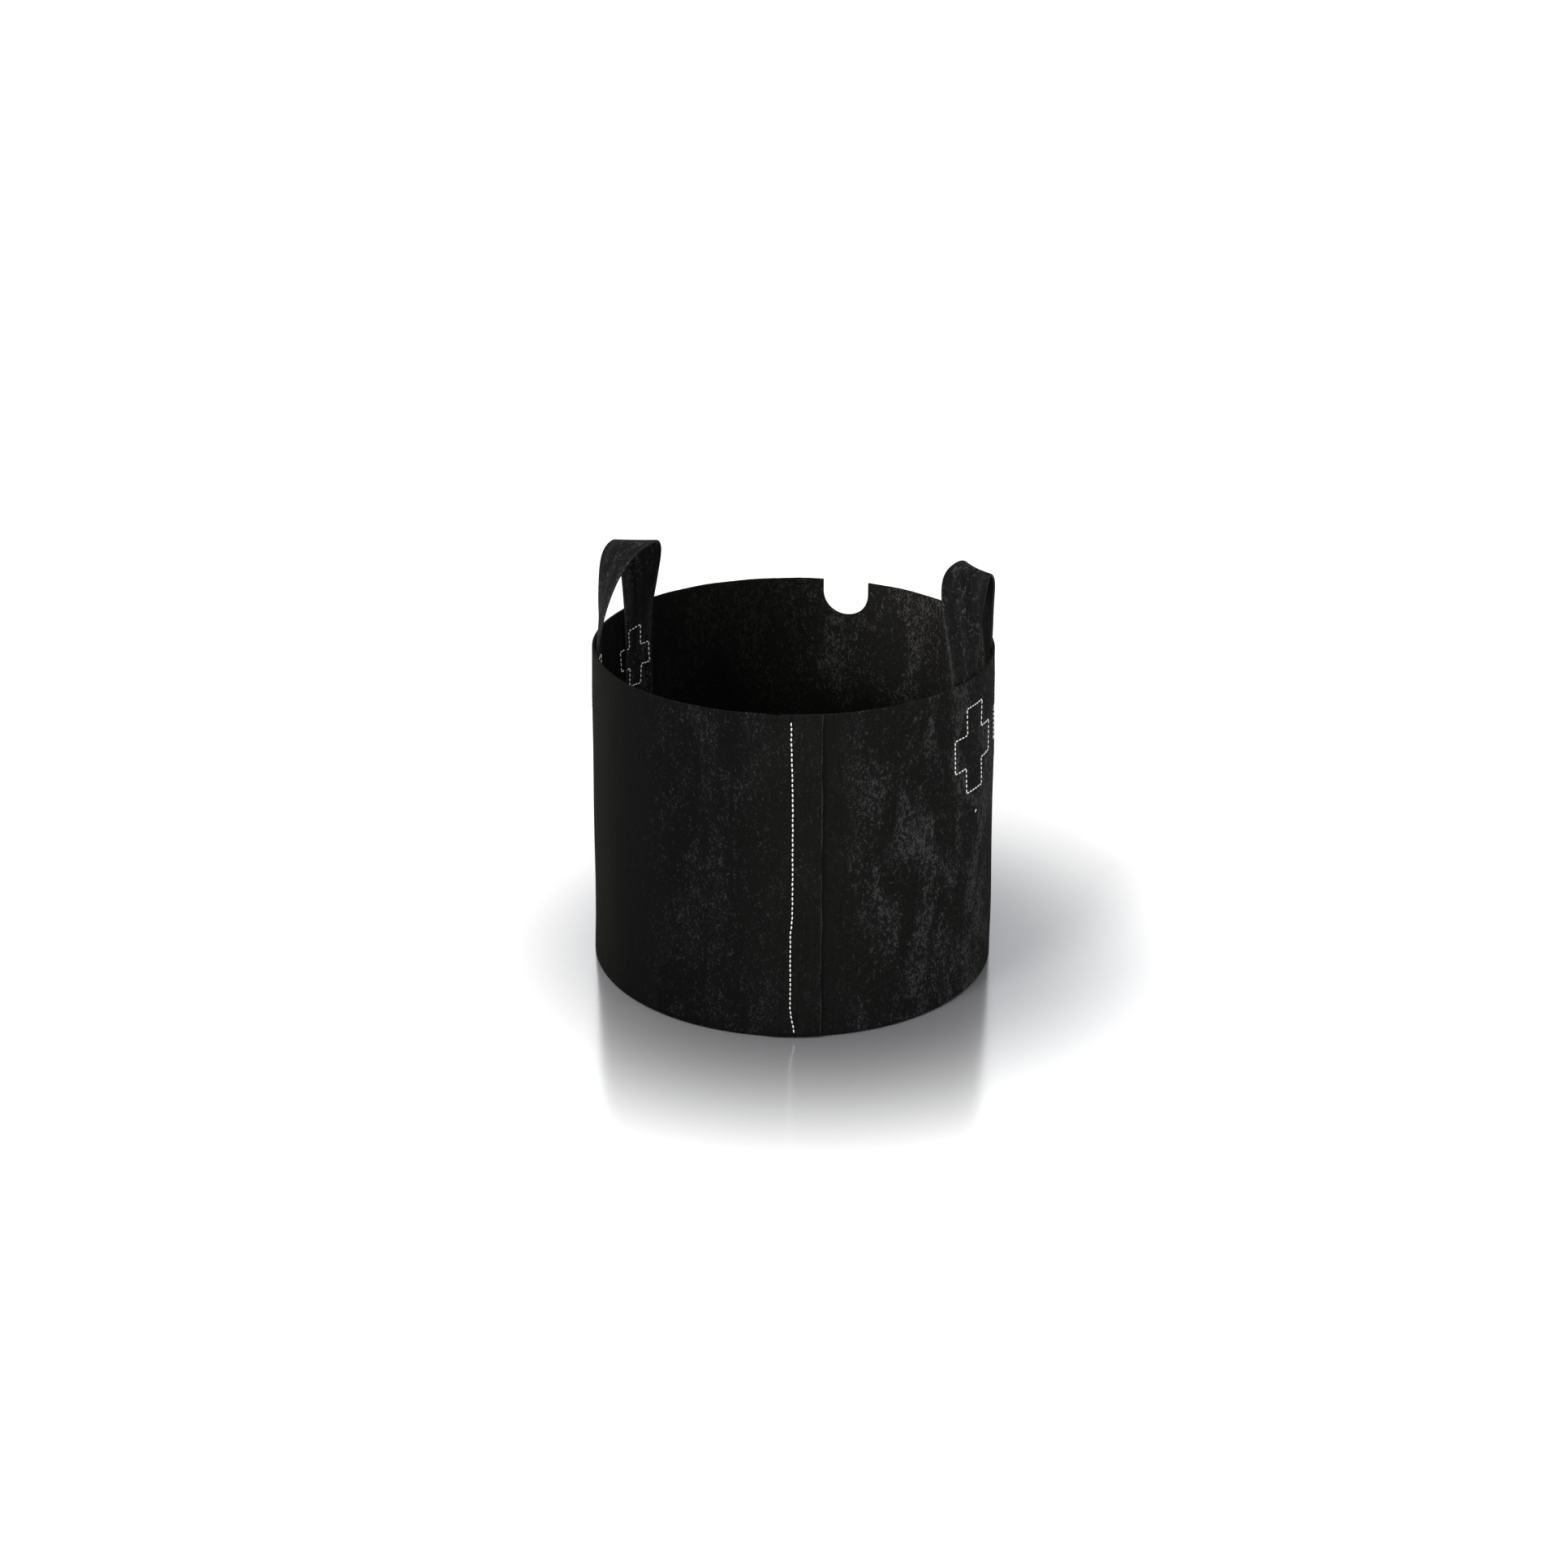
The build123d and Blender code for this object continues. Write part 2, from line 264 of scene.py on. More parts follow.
def grid_strip(columns, rows):
    """Flat grid with the given columns and rows; each vertex knows its row."""
    strip = bmesh.new()
    row_layer = strip.verts.layers.int.new("row")
    bmesh.ops.create_grid(strip, x_segments=len(columns) - 1, y_segments=len(rows) - 1, size=1.0)
    low_x = min(vert.co.x for vert in strip.verts)
    low_y = min(vert.co.y for vert in strip.verts)
    span_x = max(vert.co.x for vert in strip.verts) - low_x
    span_y = max(vert.co.y for vert in strip.verts) - low_y
    for vert in strip.verts:
        column = round((vert.co.x - low_x) / span_x * (len(columns) - 1))
        row = round((vert.co.y - low_y) / span_y * (len(rows) - 1))
        vert.co = (columns[column], rows[row], 0.0)
        vert[row_layer] = row
    return strip


def spaced(start, end, step):
    """Values from start to end, at most step apart."""
    count = max(1, floor(abs(end - start) / step + 0.999))
    return [start + (end - start) * i / count for i in range(count + 1)]


def joined_runs(*runs):
    """One list of the runs' values, without the repeated joints."""
    values = []
    for run in runs:
        values += run if not values else run[1:]
    return values


def write_flat_map(strip):
    """The flat cloth's own place as its UV map, in metres."""
    flat_map = strip.loops.layers.uv.new("UVMap")
    for face in strip.faces:
        for loop in face.loops:
            loop[flat_map].uv = loop.vert.co.xy


# -----------------------------------------------------------------------------
# Wall
# -----------------------------------------------------------------------------
FINE_STEP = 0.0016
COARSE_STEP = 0.0042


def cut_notch(strip, sizes, top):
    """Round-bottomed notch in the flat strip: the faces inside go, and the edge is drawn to its outline."""
    radius = sizes.notch_width / 2
    centre = Vector((sizes.notch_azimuth * sizes.rim_radius, top - sizes.notch_depth + radius))

    def inside(point):
        if point.y > centre.y:
            return abs(point.x - centre.x) < radius
        return (point.xy - centre).length < radius

    gone = [face for face in strip.faces if inside(face.calc_center_median())]
    bmesh.ops.delete(strip, geom=gone, context="FACES")
    reach = sizes.notch_depth + 2 * FINE_STEP
    for vert in strip.verts:
        away = vert.co.xy - centre
        if not vert.is_boundary or away.length > reach or abs(away.x) > radius + FINE_STEP:
            continue
        if away.y > 0:
            vert.co.x = centre.x + (radius if away.x > 0 else -radius)
        else:
            vert.co.xy = centre + away.normalized() * radius


def roll_wall(strip, sizes, fold_top, top):
    """Rolls the flat strip into the lapped tube and turns its lower edge up inside."""
    fold_radius = sizes.felt_thickness + sizes.layer_gap / 2
    for vert in strip.verts:
        azimuth = vert.co.x / sizes.rim_radius
        along_cloth = vert.co.y
        lap = lap_step(sizes, azimuth)
        turn_radius = fold_radius + lap
        foot = wall_radius(sizes, azimuth, 0.0) - fold_radius
        if along_cloth > fold_top:
            share = (along_cloth - fold_top) / (top - fold_top)
            height = turn_radius + (sizes.bag_height - turn_radius) * share
            fray = 0.00012 * sin(azimuth * 23) + 0.00005 * sin(azimuth * 97 + 1.0)
            height += fray * smooth_step(0.97, 1.0, share)
            vert.co = wall_point(sizes, azimuth, height)
        elif along_cloth > fold_top - pi * fold_radius:
            angle = (fold_top - along_cloth) / fold_radius
            radius = foot + turn_radius * cos(angle)
            vert.co = out_direction(azimuth) * radius
            vert.co.z = turn_radius * (1 - sin(angle))
        else:
            height = sizes.allowance_height - along_cloth
            height = turn_radius + (height - fold_radius) * (sizes.allowance_height - turn_radius) / (
                sizes.allowance_height - fold_radius
            )
            vert.co = out_direction(azimuth) * (foot - turn_radius)
            vert.co.z = height


def build_wall(sizes):
    fold_radius = sizes.felt_thickness + sizes.layer_gap / 2
    allowance = sizes.allowance_height - fold_radius
    fold_top = allowance + pi * fold_radius
    top = fold_top + sizes.bag_height - fold_radius
    full_arc = FULL_TURN * sizes.rim_radius
    notch_arc = sizes.notch_azimuth * sizes.rim_radius
    notch_reach = sizes.notch_width / 2 + 2 * FINE_STEP
    columns = joined_runs(
        spaced(sizes.lap_hidden_edge, sizes.lap_free_edge + 0.004, FINE_STEP),
        spaced(sizes.lap_free_edge + 0.004, notch_arc - notch_reach, COARSE_STEP),
        spaced(notch_arc - notch_reach, notch_arc + notch_reach, FINE_STEP),
        spaced(notch_arc + notch_reach, full_arc + sizes.joggle_start, COARSE_STEP),
        spaced(full_arc + sizes.joggle_start, full_arc + sizes.lap_free_edge, FINE_STEP),
    )
    rows = joined_runs(
        spaced(0.0, allowance, 0.003),
        spaced(allowance, fold_top, 0.0008),
        spaced(fold_top, top - sizes.notch_depth - 0.004, 0.0034),
        spaced(top - sizes.notch_depth - 0.004, top, FINE_STEP),
    )
    strip = grid_strip(columns, rows)
    cut_notch(strip, sizes, top)
    last_column = columns[-1]
    for vert in strip.verts:
        if vert.co.x > last_column - 0.4 * FINE_STEP:
            vert.co.x += 0.00035 * sin(vert.co.y * 74) + 0.00025 * sin(vert.co.y * 190 + 0.6)
    write_flat_map(strip)
    seam_layer = strip.verts.layers.float.new("seam_distance")
    for vert in strip.verts:
        height = max(0.0, vert.co.y - fold_top + fold_radius)
        arc = vert.co.x - full_arc if vert.co.x > full_arc / 2 else vert.co.x
        vert[seam_layer] = arc - side_seam_arc(height)
    roll_wall(strip, sizes, fold_top, top)
    piece = new_object("felt_wall", strip, ("wall_felt_outside", "wall_felt_inside"))
    shell = piece.modifiers.new("felt_thickness", "SOLIDIFY")
    shell.thickness = sizes.felt_thickness
    shell.offset = -1.0
    shell.use_even_offset = True
    shell.material_offset = 1
    apply_modifiers(piece)
    flat = (columns[-1] - columns[0], top)
    return piece, flat


# -----------------------------------------------------------------------------
# Base
# -----------------------------------------------------------------------------
def base_edge_offset(sizes):
    """From the wall's outer face in to the base's turned-up edge: the wall, its allowance and two gaps."""
    return 2 * sizes.felt_thickness + 2 * sizes.layer_gap


def build_base(sizes):
    thickness = sizes.felt_thickness
    rim = sizes.base_radius - base_edge_offset(sizes)
    inner_rings, bend_steps = 14, 5
    lower = [(rim * i / inner_rings, 0.0) for i in range(inner_rings)] + [(rim - thickness, 0.0)]
    bend = []
    for i in range(1, bend_steps + 1):
        angle = pi / 2 * i / bend_steps
        bend.append((rim - thickness + thickness * sin(angle), thickness - thickness * cos(angle)))
    edge = [(rim, sizes.allowance_height), (rim - thickness, sizes.allowance_height)]
    upper = [(rim - thickness, 1.6 * thickness), (rim - 1.6 * thickness, thickness)]
    upper += [(rim * i / inner_rings, thickness) for i in range(inner_rings - 1, -1, -1)]
    outline = bmesh.new()
    points = [outline.verts.new((x, 0.0, z)) for x, z in lower + bend + edge + upper]
    for first, second in zip(points, points[1:]):
        outline.edges.new((first, second))
    bmesh.ops.spin(
        outline,
        geom=outline.verts[:] + outline.edges[:],
        cent=(0, 0, 0),
        axis=(0, 0, 1),
        angle=FULL_TURN,
        steps=120,
        use_merge=True,
    )
    bmesh.ops.remove_doubles(outline, verts=outline.verts, dist=1e-6)
    bmesh.ops.recalc_face_normals(outline, faces=outline.faces)
    write_flat_map(outline)
    for vert in outline.verts:
        distance = vert.co.xy.length
        azimuth = atan2(vert.co.x, -vert.co.y)
        if distance > 0.9 * rim:
            turned = azimuth % FULL_TURN
            lap = max(lap_step(sizes, turned), lap_step(sizes, turned + FULL_TURN))
            lap *= 1 - smooth_step(0.024, 0.032, azimuth * sizes.rim_radius)
            vert.co.xy *= (distance - lap) / distance
        elif vert.co.z > thickness / 2:
            calm = smooth_step(0.9 * rim, 0.7 * rim, distance)
            vert.co.z += 0.0007 * calm * (1 + sin(31 * vert.co.x + 2) * cos(26 * vert.co.y - 1))
    piece = new_object("felt_base", outline, ("base_cloth",))
    piece.data.set_sharp_from_angle(angle=0.9)
    return piece, rim


# -----------------------------------------------------------------------------
# Straps
# -----------------------------------------------------------------------------
def leg_azimuth(sizes, handle, end):
    """Azimuth of one leg of a handle."""
    half_turn = handle["leg_spacing"] / 2 / sizes.rim_radius
    middle = radians(handle["azimuth"])
    rearward = 1 if middle > 0 else -1
    return middle + rearward * (half_turn if end == "rear" else -half_turn)


def strap_offset(sizes):
    """From the wall's outer face in to the strap's middle surface."""
    return -sizes.felt_thickness - sizes.strap_gap - sizes.strap_thickness / 2


def free_strap(sizes, handle, end, place):
    """Middle point, width direction and run of the free strap, from place 0 at the wall to 1 at the top."""
    leg, top = handle[end], handle["top"]
    half_turn = handle["leg_spacing"] / 2 / sizes.rim_radius
    top_turn = radians(top["turn"])
    to_rear = 1 if end == "rear" else -1
    azimuth = radians(handle["azimuth"])
    lift_off = sizes.bag_height - handle["lift_off"]
    root = wall_point(sizes, leg_azimuth(sizes, handle, end), lift_off, strap_offset(sizes))
    out = out_direction(azimuth)
    rearward = along_direction(azimuth) * (1 if azimuth > 0 else -1)
    up = Vector((0.0, 0.0, 1.0))
    foot = Vector((root.dot(out), root.dot(rearward), -handle["lift_off"]))
    summit = Vector((top["radius"], top["along"], top["height"]))
    level = Vector((sin(top_turn), cos(top_turn), 0.0)) * to_rear
    curve = (foot, foot + Vector((-leg["lean"], 0.0, leg["rise"])), summit + level * leg["reach"], summit)
    rest = 1 - place
    a, b, c, d = curve
    point = a * rest**3 + b * 3 * rest**2 * place + c * 3 * rest * place**2 + d * place**3
    run = (b - a) * rest**2 + (c - b) * 2 * rest * place + (d - c) * place**2
    wall_share = cos(pi / 2 * place ** leg["twist"])
    yaw = -to_rear * (pi / 2 - half_turn) * wall_share - top_turn * (1 - wall_share)
    across = Vector((cos(yaw), sin(yaw), -tan(radians(top["droop"])) * (1 - wall_share)))
    across -= run * (across.dot(run) / run.dot(run))
    run *= -to_rear

    def in_space(v):
        return out * v.x + rearward * v.y + up * v.z

    return in_space(point) + up * sizes.bag_height, in_space(across).normalized(), in_space(run).normalized()


def evened(line):
    """The strap's stations again, at even steps along its length."""
    lengths = [0.0]
    for first, second in zip(line, line[1:]):
        lengths.append(lengths[-1] + (second[0] - first[0]).length)
    count = round(lengths[-1] / STATION_STEP)
    even, i = [], 0
    for step in range(count + 1):
        wanted = lengths[-1] * step / count
        while i < len(line) - 2 and lengths[i + 1] < wanted:
            i += 1
        share = (wanted - lengths[i]) / (lengths[i + 1] - lengths[i])
        middle, across, run = (line[i][part].lerp(line[i + 1][part], share) for part in range(3))
        roundness = line[i][3] + (line[i + 1][3] - line[i][3]) * share
        even.append((middle, across.normalized(), run.normalized(), roundness))
    return even


def eased(line):
    """The strap's stations, each moved half way to the middle of its neighbours; the ends stay."""
    moved = [line[0]]
    for before, here, after in zip(line, line[1:], line[2:]):
        middle, across, run = ((before[i] + 2 * here[i] + after[i]) / 4 for i in range(3))
        moved.append((middle, across.normalized(), run.normalized(), here[3]))
    return moved + [line[-1]]


def strap_line(sizes, handle):
    """Stations along the whole strap, from the front tail over the loop to the rear tail.

    Each is the middle point, the width direction, the run, and how far the strap follows the round wall.
    """
    tail = sizes.bag_height - sizes.strap_tail_depth
    lift_off = sizes.bag_height - handle["lift_off"]
    halves = {}
    for end in ("front", "rear"):
        azimuth = leg_azimuth(sizes, handle, end)
        to_rear = 1 if end == "rear" else -1
        rearward = 1 if azimuth > 0 else -1
        across = along_direction(azimuth) * (-to_rear * rearward)
        run = Vector((0.0, 0.0, 1.0)) * -to_rear
        stations = []
        for height in spaced(tail, lift_off, 0.003)[:-1]:
            stations.append((wall_point(sizes, azimuth, height, strap_offset(sizes)), across, run, 1.0))
        for place in spaced(0.0, 1.0, 1 / 44):
            point, width_direction, direction = free_strap(sizes, handle, end, place)
            roundness = 1 - smooth_step(lift_off, sizes.bag_height + 0.03, point.z)
            stations.append((point, width_direction, direction, roundness))
        halves[end] = stations
    line = evened(halves["front"] + halves["rear"][-2::-1])
    for _ in range(EASING_PASSES):
        line = eased(line)
    return line


def build_strap(sizes, side):
    handle = HANDLES[side]
    line = strap_line(sizes, handle)
    lengths = [0.0]
    for first, second in zip(line, line[1:]):
        lengths.append(lengths[-1] + (second[0] - first[0]).length)
    columns = spaced(-sizes.strap_width / 2, sizes.strap_width / 2, sizes.strap_width / 10)
    strip = grid_strip(columns, lengths)
    write_flat_map(strip)
    handed = 1 if handle["azimuth"] > 0 else -1
    row_layer = strip.verts.layers.int["row"]
    for vert in strip.verts:
        point, across, run, roundness = line[vert[row_layer]]
        outward = across.cross(run) * handed
        offset = vert.co.x
        wander = 0.00025 * sin(vert.co.y * 95 + handed) * (offset / sizes.strap_width * 2) ** 3
        curl = offset**2 / (2 * sizes.rim_radius) * roundness
        vert.co = point + across * (offset + wander) - outward * curl
    piece = new_object(f"strap_{side}", strip, ("strap_felt",))
    thick = piece.modifiers.new("strap_thickness", "SOLIDIFY")
    thick.thickness = sizes.strap_thickness
    thick.offset = 0.0
    soft = piece.modifiers.new("soft_edges", "BEVEL")
    soft.width = 0.0007
    soft.segments = 2
    soft.limit_method = "ANGLE"
    soft.angle_limit = radians(50)
    apply_modifiers(piece)
    return piece, lengths[-1]


# -----------------------------------------------------------------------------
# Sewing
# -----------------------------------------------------------------------------
def stitch_form():
    """Mesh of one short loop of thread, one unit each way: blunt along z, round across, out along y."""
    form = bmesh.new()
    bmesh.ops.create_uvsphere(form, u_segments=8, v_segments=7, radius=1.0)
    for vert in form.verts:
        around = vert.co.xy
        if around.length > 1e-6:
            vert.co.xy = around.normalized() * sqrt(1 - vert.co.z**4)
    mesh = bpy.data.meshes.new("stitch_form")
    form.to_mesh(mesh)
    form.free()
    return mesh


def add_stitch(sewing, form, middle, direction, out, length, width, proud):
    """One stitch that rises from the cloth and dives back into it."""
    direction = direction.normalized()
    out = (out - direction * out.dot(direction)).normalized()
    side = out.cross(direction)
    shape = Matrix((side * (width / 2), out * proud, direction * (length / 2))).transposed().to_4x4()
    shape.translation = middle
    stitch = form.copy()
    stitch.transform(shape)
    sewing.from_mesh(stitch)
    bpy.data.meshes.remove(stitch)


def walk(route, pitch):
    """Places of stitches along straight runs: each place, its direction and the true pitch."""
    places = []
    for start, end in zip(route, route[1:]):
        run = end - start
        count = max(1, round(run.length / pitch))
        for i in range(count):
            places.append((start + run * ((i + 0.5) / count), run.normalized(), run.length / count))
    return places


def sew(sizes, name, route, surface, material_name, dice, share=0.70, wobble=0.00012):
    """Stitches along a route of (arc around, height) corners; surface gives a place's point and its out."""
    sewing = bmesh.new()
    form = stitch_form()
    for place, run, pitch in walk(route, sizes.stitch_pitch):
        shift = Vector((dice.uniform(-wobble, wobble), dice.uniform(-wobble, wobble)))
        tilt = dice.uniform(-0.06, 0.06)
        run = Vector((run.x * cos(tilt) - run.y * sin(tilt), run.x * sin(tilt) + run.y * cos(tilt)))
        middle, out = surface(place + shift)
        ahead, _ = surface(place + shift + run * 0.001)
        length = pitch * share * dice.uniform(0.94, 1.05)
        width = sizes.stitch_width * dice.uniform(0.92, 1.08)
        add_stitch(sewing, form, middle, ahead - middle, out, length, width, 0.42 * sizes.stitch_width)
    bpy.data.meshes.remove(form)
    return new_object(name, sewing, (material_name,))


def wall_surface(sizes, offset, turn=0.0):
    """Surface that follows the wall at an offset; turn picks the outer layer of the lap."""
    sign = 1 if offset > -sizes.felt_thickness / 2 else -1

    def surface(place):
        azimuth = place.x / sizes.rim_radius + turn
        return wall_point(sizes, azimuth, place.y, offset), out_direction(azimuth) * sign

    return surface


def cross_route(sizes, handle, end, dice):
    """Closed outline of the cross stitched at one leg, with corners a little off, as sewn by hand."""
    cross = handle["cross"]
    towards_middle = 1 if (radians(handle["azimuth"]) > leg_azimuth(sizes, handle, end)) else -1
    shift = cross["shift"] - (handle["rear_cross_back"] if end == "rear" else 0.0)
    centre_arc = leg_azimuth(sizes, handle, end) * sizes.rim_radius + towards_middle * shift
    centre = Vector((centre_arc, sizes.bag_height - cross["below_rim"] - cross["height"] / 2))
    x_bar, x_upright = cross["width"] / 2, cross["upright"] / 2
    y_bar, y_upright = cross["bar"] / 2, cross["height"] / 2
    quarter = [(x_upright, y_upright), (x_upright, y_bar), (x_bar, y_bar)]
    right = quarter + [(x, -y) for x, y in reversed(quarter)]
    corners = right + [(-x, -y) for x, y in right]
    loose = 0.0009
    route = []
    for x, y in corners:
        route.append(centre + Vector((x + dice.uniform(-loose, loose), y + dice.uniform(-loose, loose))))
    return route + route[:1]


def leg_surface(sizes, handle, end):
    """Inner face of the strap at one leg, and of the wall beside the strap."""
    middle_arc = leg_azimuth(sizes, handle, end) * sizes.rim_radius
    half = sizes.strap_width / 2
    strap_face = strap_offset(sizes) - sizes.strap_thickness / 2

    def surface(place):
        azimuth = place.x / sizes.rim_radius
        beside = smooth_step(half - 0.0006, half + 0.0012, abs(place.x - middle_arc))
        offset = strap_face + (-sizes.felt_thickness - strap_face) * beside
        return wall_point(sizes, azimuth, place.y, offset), out_direction(azimuth) * -1

    return surface


# -----------------------------------------------------------------------------
# Materials
# -----------------------------------------------------------------------------
class Finish:
    """One material, and short calls that add its nodes."""

    def __init__(self, name):
        self.material = bpy.data.materials.new(name)
        self.material.use_nodes = True
        self.nodes = self.material.node_tree.nodes
        self.links = self.material.node_tree.links
        self.shader = self.nodes["Principled BSDF"]

    def node(self, kind, **settings):
        made = self.nodes.new(kind)
        for key, value in settings.items():
            setattr(made, key, value)
        return made

    def feed(self, socket, value):
        if isinstance(value, bpy.types.NodeSocket):
            self.links.new(value, socket)
        else:
            socket.default_value = value

    def maths(self, operation, first, second=0.0, clamp=False):
        made = self.node("ShaderNodeMath", operation=operation, use_clamp=clamp)
        self.feed(made.inputs[0], first)
        self.feed(made.inputs[1], second)
        return made.outputs[0]

    def stretched(self, source, scale):
        made = self.node("ShaderNodeMapping")
        self.feed(made.inputs["Vector"], source)
        made.inputs["Scale"].default_value = scale
        return made.outputs[0]

    def noise(self, source, scale, detail=2.0, roughness=0.5, distortion=0.0):
        made = self.node("ShaderNodeTexNoise")
        self.feed(made.inputs["Vector"], source)
        made.inputs["Scale"].default_value = scale
        made.inputs["Detail"].default_value = detail
        made.inputs["Roughness"].default_value = roughness
        made.inputs["Distortion"].default_value = distortion
        return made.outputs["Fac"]

    def soft_range(self, value, low, high, to_low=0.0, to_high=1.0):
        made = self.node("ShaderNodeMapRange", interpolation_type="SMOOTHSTEP")
        self.feed(made.inputs["Value"], value)
        self.feed(made.inputs["From Min"], low)
        self.feed(made.inputs["From Max"], high)
        made.inputs["To Min"].default_value = to_low
        made.inputs["To Max"].default_value = to_high
        return made.outputs["Result"]

    def ramp(self, value, stops):
        """Grey ramp through (place, grey) stops."""
        made = self.node("ShaderNodeValToRGB")
        self.feed(made.inputs["Fac"], value)
        made.color_ramp.interpolation = "EASE"
        elements = made.color_ramp.elements
        while len(elements) > 2:
            elements.remove(elements[-1])
        for index, (place, grey) in enumerate(stops):
            element = elements[index] if index < 2 else elements.new(place)
            element.position = place
            element.color = (grey, grey, grey, 1.0)
        return made.outputs["Color"]

    def mixed(self, share, first, second):
        made = self.node("ShaderNodeMix", data_type="RGBA")
        self.feed(made.inputs["Factor"], share)
        for socket, colour in ((made.inputs[6], first), (made.inputs[7], second)):
            if isinstance(colour, bpy.types.NodeSocket):
                self.links.new(colour, socket)
            else:
                socket.default_value = (*colour, 1.0)
        return made.outputs[2]

    def bump(self, height, distance, strength=1.0):
        made = self.node("ShaderNodeBump")
        made.inputs["Strength"].default_value = strength
        made.inputs["Distance"].default_value = distance
        self.feed(made.inputs["Height"], height)
        self.links.new(made.outputs["Normal"], self.shader.inputs["Normal"])

    def surface(self, colour, roughness, sheen, specular):
        self.feed(self.shader.inputs["Base Color"], colour)
        self.shader.inputs["Roughness"].default_value = roughness
        self.shader.inputs["Sheen Weight"].default_value = sheen
        self.shader.inputs["Sheen Roughness"].default_value = 0.45
        self.shader.inputs["Specular IOR Level"].default_value = specular


def fibre_layer(finish, flat, presence, seed_shift):
    """Share of pale fibres: short upright flecks that gather in tall soft patches where presence is high."""
    shifted = finish.node("ShaderNodeVectorMath", operation="ADD")
    finish.feed(shifted.inputs[0], flat)
    shifted.inputs[1].default_value = (seed_shift, seed_shift * 0.7, 0.0)
    moved = shifted.outputs[0]
    flecks = finish.noise(finish.stretched(moved, (1.0, 0.55, 1.0)), 430.0, 3.0, 0.60, 1.6)
    fine = finish.noise(finish.stretched(moved, (1.0, 0.35, 1.0)), 2100.0, 1.0, 0.5, 0.4)
    patches = finish.noise(finish.stretched(moved, (1.0, 0.42, 1.0)), 34.0, 4.0, 0.62, 0.6)
    gathered = finish.soft_range(patches, 0.40, 0.62)
    gathered = finish.maths("MULTIPLY", gathered, presence)
    level = finish.maths("ADD", flecks, finish.maths("MULTIPLY", gathered, 0.13))
    mask = finish.soft_range(level, 0.595, 0.69)
    strength = finish.maths("MULTIPLY", mask, finish.soft_range(fine, 0.25, 0.75, 0.45, 1.0))
    strength = finish.maths("MULTIPLY", strength, finish.soft_range(presence, 0.0, 0.9, 0.10, 1.0))
    return strength, flecks, fine, gathered


def flat_place(finish):
    """The cloth's own flat place, in metres: the vector, its part across and its part along."""
    flat = finish.node("ShaderNodeUVMap", uv_map="UVMap").outputs["UV"]
    parts = finish.node("ShaderNodeSeparateXYZ")
    finish.feed(parts.inputs[0], flat)
    return flat, parts.outputs[0], parts.outputs[1]


def felt_relief(finish, flecks, fine):
    """Height of the felt's nap."""
    return finish.maths("ADD", finish.maths("MULTIPLY", flecks, 0.7), finish.maths("MULTIPLY", fine, 0.3))


def wall_outside_material(colours, sizes):
    finish = Finish("wall_felt_outside")
    flat, around, _ = flat_place(finish)
    turn = finish.maths("DIVIDE", around, FULL_TURN * sizes.rim_radius)
    stops = (
        (0.0, 0.30), (0.025, 0.26), (0.06, 0.75), (0.10, 1.0), (0.18, 1.0), (0.23, 0.60), (0.34, 0.55),
        (0.50, 0.50), (0.66, 0.25), (0.78, 0.02), (0.86, 0.10), (0.91, 0.48), (0.96, 0.50), (1.0, 0.38),
    )
    presence = finish.ramp(turn, stops)
    mask, flecks, fine, gathered = fibre_layer(finish, flat, presence, 0.0)
    # Body tone around the bag, darkest at the left front and lightest at the left side: partly the felt's own
    # uneven tone, partly painted shade and painted light where the lamps reach the cloth less and more.
    tone_and_shade_stops = (
        (0.0, 0.50), (0.10, 0.42), (0.20, 0.45), (0.30, 0.40), (0.60, 0.45), (0.75, 1.0), (0.80, 0.85),
        (0.86, 0.20), (0.90, 0.02), (0.95, 0.14), (0.985, 0.40), (1.0, 0.50),
    )
    shade = tuple(0.60 * part for part in colours.felt)
    body = finish.mixed(finish.ramp(turn, tone_and_shade_stops), shade, (0.0086, 0.0084, 0.0076))
    haze = finish.mixed(finish.maths("MULTIPLY", gathered, 0.25), body, (0.011, 0.011, 0.0112))
    grain = finish.noise(finish.stretched(flat, (1.0, 0.06, 1.0)), 420.0, 3.0, 0.6, 0.2)
    toned = finish.mixed(finish.soft_range(grain, 0.35, 0.75, 0.0, 0.5), haze, (0.0034, 0.0034, 0.0036))
    colour = finish.mixed(mask, toned, tuple(colours.felt_fibre))
    seam = finish.node("ShaderNodeAttribute", attribute_name="seam_distance").outputs["Fac"]
    beside = finish.maths("ABSOLUTE", seam)
    # Painted shade: the felt is darkened along the side seam, as if shaded in its groove; the bump presses the
    # same groove in.
    groove = finish.soft_range(beside, 0.0008, 0.0022, 1.0, 0.0)
    darkened = finish.mixed(finish.maths("MULTIPLY", groove, 0.6), colour, (0.003, 0.003, 0.003))
    # Painted highlight: a thin light line along the lap's raw edge, as if its cut face caught the light,
    # broken up by fine fibre noise.
    lap_edge = FULL_TURN * sizes.rim_radius + sizes.lap_free_edge
    painted_lap_edge_highlight = finish.soft_range(around, lap_edge - 0.0010, lap_edge - 0.0003)
    painted_lap_edge_highlight = finish.maths("MULTIPLY", painted_lap_edge_highlight, finish.soft_range(fine, 0.35, 0.65, 0.15, 0.8))
    darkened = finish.mixed(painted_lap_edge_highlight, darkened, (0.026, 0.026, 0.026))
    relief = felt_relief(finish, flecks, fine)
    relief = finish.maths("SUBTRACT", relief, finish.maths("MULTIPLY", groove, 0.5))
    finish.bump(relief, 0.0006, 0.8)
    finish.surface(darkened, 1.0, 0.0, 0.03)


